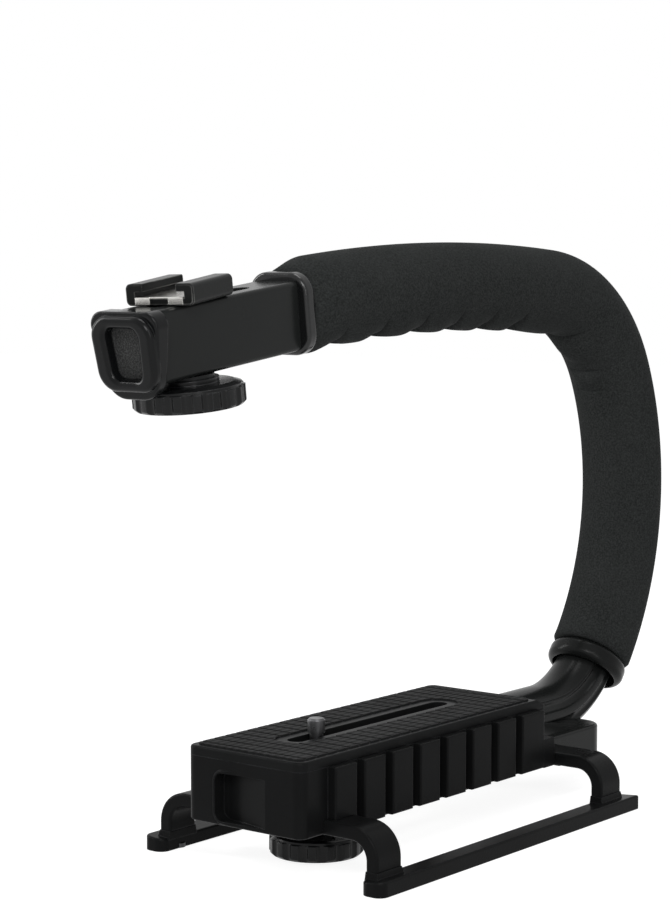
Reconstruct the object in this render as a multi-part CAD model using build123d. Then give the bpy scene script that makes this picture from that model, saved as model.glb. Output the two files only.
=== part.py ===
from build123d import *
import math
import os

os.makedirs("parts", exist_ok=True)

# A hand-held camera stabilizer: a ribbed platform on two skids, a padded arch behind it and a box
# arm over it, with an accessory shoe. The lens end looks towards -X, the skids stand on z = 0, and
# x is counted from the platform's front face until the last lines move it to the middle.

# Clearances shared by all pieces
overrun = 1.0
slip_gap = 0.3
slide_gap = 0.15
running_gap = 0.05

# Platform shell
shell_length = 149.0
shell_width = 52.0
shell_bottom = 16.8
shell_height = 23.2
shell_corner = 3.8
shell_rear_corner = 1.2
shell_inner_corner = 1.0
shell_wall = 2.6
shell_edge = 0.8
pad_count = 8
pad_start = 14.3
pad_rear_margin = 8.6
pad_gap = 4.3
pad_proud = 3.6
last_pad_extra = 3.0
pad_lift = 0.8
step_height = 11.8
step_reach = 1.3
pad_edge = 0.7
recess_width = 25.0
recess_height = 17.0
recess_depth = 4.6
recess_lift = 1.6
recess_corner = 3.2
recess_fade = 2.5
bead_fade_start = 4.5
bead_fade_end = 9.5
bead_width = 1.2
bead_proud = 0.6
rail_gap = 23.6
rail_wall = 2.0
rail_height = 9.4
rail_lip = 2.2
rail_lip_thickness = 1.4
rib_count = 4
rib_start = 46.0
rib_rear_margin = 31.0
rib_wall = 1.8
boss_radius = 4.0
boss_inset = 3.4

# Deck plate and its rubber pad
deck_thickness = 3.4
deck_edge = 1.0
deck_slope_run = 5.2
deck_slope_drop = 3.0
slot_width = 7.0
slot_start = 26.0
slot_rear_margin = 31.0
pad_sheet_thickness = 1.2
pad_sheet_sink = 0.6
pad_sheet_inset = 2.4
pad_sheet_rear_inset = 6.2
pad_sheet_corner = 2.6
pad_slot_margin = 4.0
tread_pitch = 6.0
tread_width = 1.2
tread_depth = 0.4

# Skid brackets and runners
leg_width = 13.8
leg_thickness = 5.0
leg_bend = 11.4
leg_edge = 0.9
front_leg_start = 11.6
rear_leg_gap = 3.9
runner_lead = 4.0
runner_tail = 5.3
runner_outer = 54.2
runner_width = 9.5
runner_ledge = 4.8
runner_height = 5.4
runner_inner_height = 4.6
runner_corner = 3.6
runner_edge = 0.7
plinth_height = 1.7
plinth_margin = 0.7

# Tail block behind the platform
tail_length = 54.0
tail_width = 40.0
tail_top = 24.9
tail_corner = 9.0
tail_wall = 3.0
tail_edge = 1.2
heel_bottom = 12.6
heel_setback = 2.0
crown_foot_width = 37.0
crown_width = 23.0
crown_height = 6.6
crown_rear_width = 18.0
crown_rear_height = 0.8
crown_rear_inset = 4.0
crown_sink = 1.6

# Upper arm: its tilt in degrees and its box section
arm_tilt = 7.0
arm_length = 72.0
arm_width = 18.6
arm_foot_width = 17.8
arm_height = 24.1
arm_corner = 1.6
arm_wall = 2.3
arm_bore_corner = 0.8
arm_slot_width = 6.6
arm_slot_start = 16.0
arm_slot_front_margin = 8.0

# Arm end cap
cap_thickness = 4.8
cap_width = 31.0
cap_foot_width = 21.6
cap_height = 29.0
cap_drop = 2.0
cap_corner = 5.0
cap_foot_corner = 8.5
cap_edge = 0.9
cap_lean_angle = 5.5
rim_width = 27.2
rim_foot_width = 25.0
rim_height = 25.0
rim_drop = 1.2
rim_wall = 3.9
rim_side_wall = 6.2
rim_proud = 2.4
rim_corner = 7.2
cap_floor_depth = 4.6
cap_tongue_length = 8.0
cap_wall = 2.0

# Collar between arm and arch
collar_thickness = 5.0
collar_width = 25.6
collar_height = 28.8
collar_lift = 0.5
collar_corner = 7.6
collar_edge = 1.4
plug_gap = 1.0
spigot_length = 20.0

# Arch: core tube in a foam sleeve, three tangent arcs long, with what each turns in degrees
arch_lift = 2.4
arch_top_radius = 788.0
arch_top_angle = 11.8
arch_corner_radius = 59.5
arch_corner_angle = 60.0
arch_back_radius = 112.5
arch_back_angle = 63.4
foam_radius = 16.5
foam_bore_gap = 0.1
foam_end_round = 6.0
tube_radius = 9.5
tube_wall = 1.5

# Flange ring at the foam's lower end, and the fluted neck below it
flange_radius = 16.2
flange_thickness = 8.2
flange_round = 3.0
flange_cup_radius = 13.6
flange_cup_depth = 5.8
neck_radius = 11.7
neck_arc_radius = 50.0
neck_setback = 33.8
neck_rise = 3.9
neck_flutes = 7
flute_turn = 38.0
hood_reach = 7.4
hood_proud = 0.5
flute_radius = 2.6
flute_depth = 1.3

# Accessory shoe and its clamp
shoe_width = 26.0
shoe_length = 25.4
shoe_height = 7.2
shoe_angle = 10.0
shoe_floor = 2.4
shoe_channel_width = 18.9
shoe_channel_height = 2.2
shoe_mouth_width = 12.8
shoe_edge = 0.5
shoe_corner = 1.8
shoe_setback = 22.8
spring_thickness = 0.5
spring_width = 18.2
spring_lip_width = 5.6
spring_lip_height = 2.5
spring_lip_round = 0.45
bolt_radius = 3.0
bolt_head_width = 10.0
bolt_head_height = 1.6
bolt_tip_margin = 1.0
clamp_washer_radius = 9.0
clamp_washer_thickness = 1.2

# Upper knob
top_knob_radius = 18.9
top_knob_band = 6.2
top_knob_shoulder = 1.7
top_knob_shoulder_inset = 3.4
top_knob_boss_radius = 10.5
top_knob_boss_height = 1.6
top_knob_flutes = 18
knob_flute_radius = 2.6
knob_flute_depth = 1.0
knob_edge = 0.9
insert_radius = 5.0

# Camera screw, its slide block and its knob
screw_radius = 3.175
screw_stand = 5.6
screw_neck_radius = 2.5
screw_neck_stand = 0.5
screw_tip = 0.7
screw_place = 40.4
carrier_length = 20.0
carrier_thickness = 6.0
ring_radius = 5.4
ring_thickness = 0.8
low_knob_radius = 16.9
low_knob_bottom = 1.0
low_knob_band = 6.0
low_knob_shoulder = 1.4
low_knob_shoulder_inset = 2.4
low_knob_flutes = 16
low_knob_hub_radius = 6.6
low_washer_radius = 7.4
low_washer_thickness = 1.2

# Assembly screws
small_screw_radius = 1.5
small_head_radius = 2.8
small_head_height = 1.6
small_screw_reach = 7.0
bracket_screw_grip = 2.0
arm_screw_inset = 9.0

# Heights and places that follow from the sizes above
shell_top = shell_bottom + shell_height
deck_top = shell_top + deck_thickness
pad_top = deck_top - pad_sheet_sink + pad_sheet_thickness
leg_top = shell_bottom + leg_thickness
leg_outer = runner_outer - runner_ledge
leg_inner = leg_outer - leg_thickness
runner_inner = runner_outer - runner_width
half_shell = shell_width / 2
pad_length = (shell_length - pad_start - pad_rear_margin - (pad_count - 1) * pad_gap) / pad_count
rib_pitch = (shell_length - rib_start - rib_rear_margin) / (rib_count - 1)
slot_length = shell_length - slot_start - slot_rear_margin
rear_leg_start = shell_length + rear_leg_gap
tail_end = shell_length + tail_length
runner_start = front_leg_start - runner_lead
runner_end = rear_leg_start + leg_width + runner_tail
arm_slot_length = arm_length - arm_slot_start - arm_slot_front_margin
shoe_centre = arm_length - shoe_setback
plug_length = arm_slot_start - plug_gap
neck_angle = 180 + arm_tilt - arch_top_angle - arch_corner_angle - arch_back_angle


def span_box(x_range, y_range, z_range):
    """Box between two values on each axis."""
    middle = [(low + high) / 2 for low, high in (x_range, y_range, z_range)]
    size = [high - low for low, high in (x_range, y_range, z_range)]
    return Pos(*middle) * Box(*size)


def post(x, y, z_low, z_high, radius):
    """Upright cylinder between two heights."""
    return Pos(x, y, (z_low + z_high) / 2) * Cylinder(radius, z_high - z_low)


def rounded_plate(length, width, corner, z_low, z_high, rear_corner=None):
    """Plate from x = 0 with rounded upright corners, centred on y = 0."""
    outline = Rectangle(length, width)
    outline = fillet(outline.vertices().group_by(Axis.X)[0], corner)
    outline = fillet(outline.vertices().group_by(Axis.X)[-1], rear_corner or corner)
    return Pos(length / 2, 0, z_low) * extrude(outline, amount=z_high - z_low)


# Sides and middles of things that come in pairs
sides = (-1, 1)
rear_boss_x = shell_length - shell_wall - boss_inset
deck_boss_y = half_shell - shell_wall - boss_inset
rear_screw_y = tail_width / 2 - tail_wall - boss_radius
tail_screw_z = (shell_bottom + tail_top) / 2
tail_screw_grip = rear_leg_gap - 2 * slip_gap
brackets = ((front_leg_start, deck_boss_y), (rear_leg_start, rear_screw_y))
deck_boss_places = [
    (x, side * deck_boss_y)
    for x in (front_leg_start + leg_width + boss_inset, rear_boss_x)
    for side in sides
]


def base_shell():
    """Open-bottomed ribbed housing with eight pads on each long side and a recess in front."""
    shell = rounded_plate(
        shell_length, shell_width, shell_corner, shell_bottom, shell_top, shell_rear_corner
    )
    cavity = Pos(shell_wall, 0, 0) * rounded_plate(
        shell_length - 2 * shell_wall,
        shell_width - 2 * shell_wall,
        shell_inner_corner,
        shell_bottom - overrun,
        shell_top + overrun,
    )
    shell = fillet(shell.edges().group_by(Axis.Z)[0], shell_edge)
    shell -= cavity
    for index in range(pad_count):
        start = pad_start + index * (pad_length + pad_gap)
        end = start + pad_length
        if index == pad_count - 1:
            end += last_pad_extra
        for side in sides:
            root = side * (half_shell - shell_edge)
            face = side * (half_shell + pad_proud)
            pad = span_box((start, end), sorted((root, face)), (shell_bottom + pad_lift, shell_top))
            pad = fillet(
                [e for e in pad.edges() if abs(e.center().Y) > half_shell + pad_proud - pad_edge],
                pad_edge,
            )
            shell += pad
    # Low step behind the last pad of each side
    for side in sides:
        root = side * (half_shell - shell_wall)
        face = side * (half_shell + pad_proud)
        shell += span_box(
            (shell_length - shell_wall - boss_inset, shell_length + step_reach),
            sorted((root, face)),
            (shell_bottom + pad_lift, shell_bottom + step_height),
        )
    # Pocket of the front recess, with a raised bead round its mouth
    pocket_middle = shell_bottom + recess_lift + recess_height / 2
    pocket_depth = recess_depth + shell_wall
    shell += span_box(
        (shell_wall / 2, pocket_depth),
        (-recess_width / 2 - shell_wall, recess_width / 2 + shell_wall),
        (shell_bottom, shell_bottom + recess_lift + recess_height + shell_wall),
    )
    front_plane = Plane(origin=(0, 0, pocket_middle), x_dir=(0, -1, 0), z_dir=(-1, 0, 0))
    bead = front_plane * RectangleRounded(
        recess_width + 2 * bead_width - slip_gap,
        recess_height + 2 * bead_width - slip_gap,
        recess_corner + bead_width,
    )
    bead = extrude(bead, amount=bead_proud)
    bead = chamfer(bead.faces().sort_by(Axis.X)[0].edges(), bead_proud / 2)
    left_edge = recess_width / 2
    bead_cut = [
        (-bead_proud, left_edge - bead_fade_start),
        (0, left_edge - bead_fade_end),
        (0, -recess_width),
        (-bead_proud - overrun, -recess_width),
        (-bead_proud - overrun, left_edge - bead_fade_start),
    ]
    level = Plane(origin=(0, 0, shell_bottom - overrun))
    shell += bead - extrude(level * make_face(Polyline(*bead_cut, close=True)), amount=shell_height)
    # The recess is deepest at its left side and runs out flush with the front at its right side
    mouth = front_plane * RectangleRounded(recess_width, recess_height, recess_corner)
    hollow = extrude(mouth, amount=bead_proud + overrun) + extrude(mouth, amount=-recess_depth)
    scoop = [
        (-bead_proud - overrun, recess_width),
        (recess_depth, recess_width),
        (recess_depth, left_edge - recess_fade),
        (0, -left_edge + recess_fade),
        (-bead_proud - overrun, -left_edge + recess_fade),
    ]
    shell -= hollow & extrude(level * make_face(Polyline(*scoop, close=True)), amount=shell_height)
    # Rails that guide the slide block under the deck, with lips that carry it
    rail_start = pocket_depth
    for side in sides:
        inner = side * rail_gap / 2
        outer = side * (rail_gap / 2 + rail_wall)
        tip = side * (rail_gap / 2 - rail_lip)
        shell += span_box(
            (rail_start, shell_length - shell_wall / 2),
            sorted((inner, outer)),
            (shell_top - rail_height, shell_top),
        )
        shell += span_box(
            (rail_start, shell_length - shell_wall / 2),
            sorted((tip, outer)),
            (shell_top - rail_height, shell_top - rail_height + rail_lip_thickness),
        )
        for index in range(rib_count):
            rib_x = rib_start + index * rib_pitch
            shell += span_box(
                (rib_x, rib_x + rib_wall),
                sorted((side * (rail_gap / 2 + rail_wall / 2), side * (half_shell - shell_wall / 2))),
                (shell_bottom + rib_wall, shell_top),
            )
    for x, y in deck_boss_places:
        shell += post(x, y, shell_top - small_screw_reach, shell_top, boss_radius)
        shell -= post(
            x, y, shell_top - small_screw_reach - overrun, shell_top + overrun, small_screw_radius
        )
    # Feet of the front bracket's screws
    for side in sides:
        x = front_leg_start + leg_width / 2
        y = side * deck_boss_y
        shell += post(x, y, leg_top, leg_top + small_screw_reach, boss_radius)
        shell -= post(x, y, leg_top - overrun, leg_top + small_screw_reach - rib_wall, small_screw_radius)
    # Notches that the front bracket comes out of
    shell -= span_box(
        (front_leg_start, front_leg_start + leg_width),
        (-half_shell - pad_proud - overrun, half_shell + pad_proud + overrun),
        (shell_bottom - overrun, leg_top),
    )
    # Holes of the two screws that hold the tail block
    for side in sides:
        hole = Plane(origin=(shell_length - shell_wall, side * rear_screw_y, tail_screw_z), z_dir=(1, 0, 0))
        shell -= extrude(hole * Circle(small_screw_radius), amount=shell_wall, both=True)
    return shell


def deck_plate():
    """Flat lid with the slot of the camera screw and a shallow seat for the rubber pad."""
    deck = rounded_plate(
        shell_length, shell_width, shell_corner, shell_top, deck_top, shell_rear_corner
    )
    deck = fillet(deck.edges().group_by(Axis.Z)[-1], deck_edge)
    # The rear end slopes down to the neck
    slope = [
        (shell_length - deck_slope_run, deck_top),
        (shell_length, deck_top - deck_slope_drop),
        (shell_length + overrun, deck_top - deck_slope_drop),
        (shell_length + overrun, deck_top + overrun),
        (shell_length - deck_slope_run, deck_top + overrun),
    ]
    upright = Plane(origin=(0, half_shell + overrun, 0), x_dir=(1, 0, 0), z_dir=(0, -1, 0))
    deck -= extrude(upright * make_face(Polyline(*slope, close=True)), amount=shell_width + 2 * overrun)
    slot_middle = slot_start + slot_length / 2
    slot = SlotOverall(slot_length, slot_width)
    deck -= Pos(slot_middle, 0, shell_top - overrun) * extrude(slot, amount=deck_thickness + 2 * overrun)
    deck -= pad_sheet_blank(deck_top - pad_sheet_sink, deck_top + overrun, 0)
    for x, y in deck_boss_places:
        deck -= post(x, y, shell_top - overrun, shell_top + deck_thickness / 2, small_screw_radius)
    return deck


def pad_sheet_blank(z_low, z_high, shrink):
    """The pad's outline between two heights, with its slot, smaller all round by shrink."""
    length = shell_length - pad_sheet_inset - pad_sheet_rear_inset - 2 * shrink
    width = shell_width - 2 * pad_sheet_inset - 2 * shrink
    blank = Pos(pad_sheet_inset + shrink, 0, 0) * rounded_plate(
        length, width, pad_sheet_corner - shrink, z_low, z_high
    )
    growth = 2 * (pad_slot_margin + shrink)
    hole = extrude(
        SlotOverall(slot_length + growth, slot_width + growth), amount=z_high - z_low + 2 * overrun
    )
    return blank - Pos(slot_start + slot_length / 2, 0, z_low - overrun) * hole


def deck_pad():
    """Ribbed rubber sheet that the camera sits on."""
    sheet = pad_sheet_blank(deck_top - pad_sheet_sink, pad_top, slide_gap)
    first = 2 * pad_sheet_inset
    count = int((shell_length - first - pad_sheet_rear_inset - tread_width) / tread_pitch) + 1
    for index in range(count):
        x = first + index * tread_pitch
        sheet -= span_box(
            (x, x + tread_width),
            (-half_shell, half_shell),
            (pad_top - tread_depth, pad_top + overrun),
        )
    return sheet


def leg_bracket(start, screw_y):
    """Arched cross bar with a leg at each end that bends down to its runner."""
    foot = runner_height + plinth_height
    points = [
        (-leg_outer, foot),
        (-leg_outer, leg_top),
        (leg_outer, leg_top),
        (leg_outer, foot),
        (leg_inner, foot),
        (leg_inner, shell_bottom),
        (-leg_inner, shell_bottom),
        (-leg_inner, foot),
    ]
    outline = make_face(Polyline(*points, close=True))
    outline = fillet([v for v in outline.vertices() if v.Y > leg_top - slide_gap], leg_bend)
    inner = [
        v for v in outline.vertices()
        if abs(v.Y - shell_bottom) < slide_gap and abs(abs(v.X) - leg_inner) < slide_gap
    ]
    outline = fillet(inner, leg_bend - leg_thickness)
    section = Plane(origin=(start, 0, 0), x_dir=(0, 1, 0), z_dir=(1, 0, 0)) * outline
    bracket = extrude(section, amount=leg_width)
    reach = half_shell + pad_proud
    middle = start + leg_width / 2
    rims = [
        e for e in bracket.edges()
        if abs(e.center().Y) > reach
        and e.center().Z > foot + leg_edge / 2
        and abs(e.center().X - middle) > leg_width / 2 - slide_gap
    ]
    bracket = fillet(rims, leg_edge)
    for side in sides:
        x = middle
        y = side * screw_y
        leg_y = side * (leg_outer - leg_thickness / 2)
        bracket -= post(x, y, shell_bottom - overrun, leg_top + overrun, small_screw_radius)
        bracket -= post(x, y, shell_bottom - overrun, shell_bottom + small_head_height, small_head_radius)
        bracket -= post(x, leg_y, foot - overrun, foot + small_screw_reach, small_screw_radius)
    return bracket


def runner(side):
    """Straight bar that the grip stands on, with a low plinth under each leg."""
    points = [
        (runner_inner, 0),
        (runner_outer, 0),
        (runner_outer, runner_height),
        (runner_inner, runner_inner_height),
    ]
    section = Plane(origin=(runner_start, 0, 0), x_dir=(0, 1, 0), z_dir=(1, 0, 0))
    bar = extrude(section * make_face(Polyline(*points, close=True)), amount=runner_end - runner_start)
    bar = fillet(bar.edges().filter_by(Axis.Z).group_by(Axis.X)[0], runner_corner)
    bar = fillet([e for e in bar.edges() if e.center().Z > runner_inner_height - slide_gap], runner_edge)
    for start, _ in brackets:
        low = Rectangle(leg_width + 2 * plinth_margin, leg_thickness + plinth_margin)
        high = Rectangle(leg_width, leg_thickness)
        middle = leg_outer - leg_thickness / 2
        x = start + leg_width / 2
        base = runner_inner_height - runner_edge
        bar += loft([
            Pos(x, middle + plinth_margin / 2, base) * low,
            Pos(x, middle, runner_height + plinth_height) * high,
        ])
        bar -= post(x, middle, -overrun, runner_height + plinth_height + overrun, small_screw_radius)
        bar -= post(x, middle, -overrun, small_head_height, small_head_radius)
    return bar if side > 0 else mirror(bar, about=Plane.XZ)


def flat_screw(x, y, z_head, reach):
    """Assembly screw whose slotted head faces down."""
    head = post(x, y, z_head, z_head + small_head_height, small_head_radius)
    drive = Pos(x, y, z_head) * Box(small_head_radius, small_screw_radius / 3, small_head_height)
    shank = post(x, y, z_head + small_head_height, z_head + reach, small_screw_radius)
    return head + shank - drive


def tail_crown():
    """Roof-shaped rise on the tail block that fades out towards its rear end."""
    def gable(x, width, height):
        points = [
            (-crown_foot_width / 2, tail_top - crown_sink),
            (crown_foot_width / 2, tail_top - crown_sink),
            (width / 2, tail_top + height),
            (-width / 2, tail_top + height),
        ]
        face = make_face(Polyline(*points, close=True))
        return Plane(origin=(x, 0, 0), x_dir=(0, 1, 0), z_dir=(1, 0, 0)) * face

    return loft(
        [
            gable(shell_length, crown_width, crown_height),
            gable(tail_end - crown_rear_inset, crown_rear_width, crown_rear_height),
        ],
        ruled=True,
    )


def tail_blank():
    """The tail block's outer form, without its hollows."""
    block = rounded_plate(tail_end, tail_width, tail_corner, heel_bottom, tail_top)
    block -= span_box(
        (-overrun, shell_length),
        (-tail_width, tail_width),
        (heel_bottom - overrun, tail_top + overrun),
    )
    block -= span_box(
        (0, rear_leg_start + leg_width + heel_setback),
        (-tail_width, tail_width),
        (heel_bottom - overrun, shell_bottom),
    )
    top_rim = [e for e in block.edges().group_by(Axis.Z)[-1] if e.center().X > shell_length + overrun]
    block = fillet(top_rim, tail_edge)
    return block + tail_crown()


def tail_block():
    """Low block behind the shell, hollow underneath, that the neck grows out of."""
    block = tail_blank()
    hollow = span_box(
        (rear_leg_start + leg_width + tail_wall, tail_end - tail_wall),
        (-tail_width / 2 + tail_wall, tail_width / 2 - tail_wall),
        (heel_bottom - overrun, tail_top - tail_wall),
    )
    hollow = fillet(hollow.edges().filter_by(Axis.Z).group_by(Axis.X)[-1], tail_corner - tail_wall)
    block -= hollow
    # Channel that the rear bracket lies in
    block -= span_box(
        (rear_leg_start, rear_leg_start + leg_width),
        (-tail_width, tail_width),
        (shell_bottom - overrun, leg_top),
    )
    for side in sides:
        x = rear_leg_start + leg_width / 2
        screw_tip = leg_top + bracket_screw_grip
        block -= post(x, side * rear_screw_y, leg_top - overrun, screw_tip, small_screw_radius)
        start = Plane(origin=(shell_length - overrun, side * rear_screw_y, tail_screw_z), z_dir=(1, 0, 0))
        block -= extrude(start * Circle(small_screw_radius), amount=overrun + tail_screw_grip)
    return block


def arc_shift(heading, radius, angle):
    """How far an arc that bends clockwise from a heading carries along x and along z."""
    start = math.radians(heading)
    end = math.radians(heading - angle)
    return radius * (math.sin(start) - math.sin(end)), radius * (math.cos(end) - math.cos(start))


def arc_after(point, heading, radius, angle):
    """Arc in the plane y = 0 that bends clockwise from a heading, with its end point and heading."""
    def after(part):
        shift_x, shift_z = arc_shift(heading, radius, part)
        return (point[0] + shift_x, 0, point[2] + shift_z)

    return ThreePointArc(point, after(angle / 2), after(angle)), after(angle), heading - angle


def square_to(point, heading):
    """Plane across a heading in the plane y = 0, with y as its first direction."""
    rad = math.radians(heading)
    return Plane(origin=point, x_dir=(0, 1, 0), z_dir=(math.cos(rad), 0, math.sin(rad)))


# The neck ends level over the tail block. The arch's start and the arm's place follow from there.
arch_start_x = shell_length + neck_setback
arch_start_z = tail_top + neck_rise
here = arm_tilt
for radius, angle in (
    (arch_top_radius, arch_top_angle),
    (arch_corner_radius, arch_corner_angle),
    (arch_back_radius, arch_back_angle),
    (neck_arc_radius, neck_angle),
):
    shift_x, shift_z = arc_shift(here, radius, angle)
    arch_start_x -= shift_x
    arch_start_z -= shift_z
    here -= angle
arch_start = (arch_start_x, 0, arch_start_z)
arm_slope = Location((0, 0, 0), (0, -arm_tilt, 0))
arch_seat = (arm_slope * Pos(collar_thickness, 0, arch_lift)).position
arm_frame = Pos(arch_start_x - arch_seat.X, 0, arch_start_z - arch_seat.Z) * arm_slope

top_arc, corner_start, corner_heading = arc_after(arch_start, arm_tilt, arch_top_radius, arch_top_angle)
corner_arc, back_start, back_heading = arc_after(
    corner_start, corner_heading, arch_corner_radius, arch_corner_angle
)
back_arc, arch_end, arch_heading = arc_after(back_start, back_heading, arch_back_radius, arch_back_angle)
arch_path = Wire([top_arc, corner_arc, back_arc])
spigot_angle = math.degrees(spigot_length / arch_back_radius)
neck_arc, neck_end, _ = arc_after(arch_end, arch_heading, neck_arc_radius, neck_angle)


def along_arch(radius):
    """Round bar along the whole arch."""
    return sweep(square_to(arch_start, arm_tilt) * Circle(radius), path=arch_path)


def core_tube():
    """Bent metal tube inside the foam."""
    return along_arch(tube_radius) - along_arch(tube_radius - tube_wall)


def foam_grip():
    """Foam sleeve over the whole arch, drawn in a little at its upper end."""
    foam = along_arch(foam_radius)
    foam = fillet(foam.edges().sort_by(Axis.X)[0], foam_end_round)
    return foam - along_arch(tube_radius + foam_bore_gap)


def lower_flange():
    """Cup ring that ends the foam, with the neck coming out of its hollow underside."""
    plane = square_to(arch_end, arch_heading)
    ring = extrude(plane * Circle(flange_radius), amount=flange_thickness)
    ring = fillet(ring.edges().filter_by(GeomType.CIRCLE), flange_round)
    cup_plane = plane.offset(flange_thickness - flange_cup_depth)
    ring -= extrude(cup_plane * Circle(flange_cup_radius), amount=flange_cup_depth + overrun)
    bore = extrude(
        plane.offset(-overrun) * Circle(neck_radius + slip_gap), amount=flange_thickness + 2 * overrun
    )
    return ring - bore


def neck():
    """Tube from the flange down and forwards to the shell, with a spigot in the core tube.

    Its rear and sides are fluted. A smooth hood covers the side that faces the hand room.
    """
    fluted_radius = neck_radius - hood_proud
    outline = Circle(fluted_radius)
    for index in range(neck_flutes):
        turn = Rot(0, 0, (index - (neck_flutes - 1) / 2) * flute_turn)
        outline -= turn * Pos(0, fluted_radius + flute_radius - flute_depth) * Circle(flute_radius)
    outline = fillet(outline.vertices(), flute_depth / 2)
    hood = Circle(neck_radius) & Pos(0, -hood_reach - neck_radius) * Rectangle(
        2 * neck_radius, 2 * neck_radius
    )
    outline += hood
    run = Line(neck_end, (shell_length, 0, neck_end[2]))
    body = sweep(square_to(arch_end, arch_heading) * outline, path=Wire([neck_arc, run]))
    body -= tail_blank()
    # Spigot along the last stretch of the arch
    _, start, heading = arc_after(
        back_start, back_heading, arch_back_radius, arch_back_angle - spigot_angle
    )
    spigot_arc = arc_after(start, heading, arch_back_radius, spigot_angle)[0]
    spigot = sweep(
        square_to(start, heading) * Circle(tube_radius - tube_wall - slide_gap),
        path=Wire([spigot_arc]),
    )
    return body + spigot


def arm_section(top_width, foot_width, height, corner, foot_corner=None):
    """Box section that narrows downwards, drawn across the arm's axis."""
    points = [
        (-foot_width / 2, -height / 2),
        (foot_width / 2, -height / 2),
        (top_width / 2, height / 2),
        (-top_width / 2, height / 2),
    ]
    outline = make_face(Polyline(*points, close=True))
    outline = fillet(outline.vertices().group_by(Axis.Y)[-1], corner)
    return fillet(outline.vertices().group_by(Axis.Y)[0], foot_corner or corner)


def across_arm(s, lift=0):
    """Plane across the arm's axis at a distance s in front of its rear end, looking back."""
    return Plane(origin=(-s, 0, lift), x_dir=(0, 1, 0), z_dir=(1, 0, 0))


arm_bore_width = arm_width - 2 * arm_wall
arm_bore_foot_width = arm_foot_width - 2 * arm_wall
arm_bore_height = arm_height - 2 * arm_wall


def upper_arm():
    """Hollow box arm with a slot through its top and bottom walls for the shoe's bolt."""
    arm = extrude(
        across_arm(arm_length) * arm_section(arm_width, arm_foot_width, arm_height, arm_corner),
        amount=arm_length,
    )
    arm -= extrude(
        across_arm(arm_length + overrun)
        * arm_section(arm_bore_width, arm_bore_foot_width, arm_bore_height, arm_bore_corner),
        amount=arm_length + 2 * overrun,
    )
    slot = SlotOverall(arm_slot_length, arm_slot_width)
    middle = -arm_slot_start - arm_slot_length / 2
    arm -= Pos(middle, 0, -arm_height) * extrude(slot, amount=2 * arm_height)
    for side in sides:
        arm -= post(-arm_screw_inset, side * boss_radius, -arm_height, 0, small_screw_radius)
        arm -= post(
            -arm_screw_inset, side * boss_radius, -arm_height, -arm_height / 2 + small_head_height,
            small_head_radius,
        )
    return arm_frame * arm


def arm_plug():
    """Block in the arm's rear end with a round spigot that carries the core tube."""
    plug = extrude(
        across_arm(plug_length)
        * arm_section(
            arm_bore_width - slide_gap, arm_bore_foot_width - slide_gap,
            arm_bore_height - slide_gap, arm_bore_corner,
        ),
        amount=plug_length + collar_thickness,
    )
    for side in sides:
        plug -= post(
            -arm_screw_inset, side * boss_radius, -arm_height,
            -arm_height / 2 + small_screw_reach + overrun, small_screw_radius,
        )
    plug = arm_frame * plug
    angle = math.degrees(spigot_length / arch_top_radius)
    spigot_arc = arc_after(arch_start, arm_tilt, arch_top_radius, angle)[0]
    spigot = sweep(
        square_to(arch_start, arm_tilt) * Circle(tube_radius - tube_wall - slide_gap),
        path=Wire([spigot_arc]),
    )
    return plug + spigot


def upper_collar():
    """Rounded collar with a proud lip between the arm and the foam."""
    outline = RectangleRounded(collar_width, collar_height, collar_corner)
    plate = extrude(across_arm(0, collar_lift) * outline, amount=collar_thickness)
    plate = fillet(plate.edges().filter_by(Plane.YZ), collar_edge)
    hole = arm_section(arm_bore_width, arm_bore_foot_width, arm_bore_height, arm_bore_corner)
    plate -= extrude(across_arm(overrun) * hole, amount=collar_thickness + 2 * overrun)
    return arm_frame * plate


cap_face = Location((-arm_length - cap_thickness, 0, 0), (0, -cap_lean_angle, 0))


def arm_end_cap():
    """Shield-shaped flange with a raised ring round a deep recess, and a tongue inside the arm."""
    flange = Plane(origin=(-arm_length, 0, -cap_drop), x_dir=(0, -1, 0), z_dir=(-1, 0, 0))
    shield = arm_section(cap_width, cap_foot_width, cap_height, cap_corner, cap_foot_corner)
    cap = extrude(flange * shield, amount=2 * cap_thickness)
    beyond = Pos(-cap_height, 0, 0) * Box(2 * cap_height, 2 * cap_width, 3 * cap_height)
    cap -= cap_face * beyond
    cap = fillet(cap.faces().sort_by(Axis.X)[0].edges(), cap_edge)
    outwards = Plane(origin=(cap_edge, 0, -rim_drop), x_dir=(0, -1, 0), z_dir=(-1, 0, 0))
    ring = extrude(
        outwards * arm_section(rim_width, rim_foot_width, rim_height, rim_corner),
        amount=rim_proud + cap_edge,
    )
    mouth = arm_section(
        rim_width - 2 * rim_side_wall, rim_foot_width - 2 * rim_side_wall,
        rim_height - 2 * rim_wall, rim_corner - rim_wall,
    )
    ring -= extrude(outwards * mouth, amount=rim_proud + cap_edge + overrun)
    ring = fillet(ring.faces().sort_by(Axis.X)[0].edges(), rim_wall / 2 - slide_gap)
    cap += cap_face * ring
    tongue_bore = arm_section(
        arm_bore_width - slide_gap, arm_bore_foot_width - slide_gap,
        arm_bore_height - slide_gap, arm_bore_corner,
    )
    cap += extrude(across_arm(arm_length) * tongue_bore, amount=cap_tongue_length)
    floor = outwards.offset(cap_edge + rim_proud - cap_floor_depth)
    cap -= cap_face * extrude(floor * mouth, amount=cap_floor_depth)
    well = RectangleRounded(
        arm_bore_foot_width - 2 * cap_wall, arm_bore_height - 2 * cap_wall, arm_bore_corner
    )
    behind_floor = cap_floor_depth - rim_proud - cap_thickness + cap_wall
    cap -= extrude(across_arm(arm_length - behind_floor) * well, amount=cap_tongue_length)
    return arm_frame * cap


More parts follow.
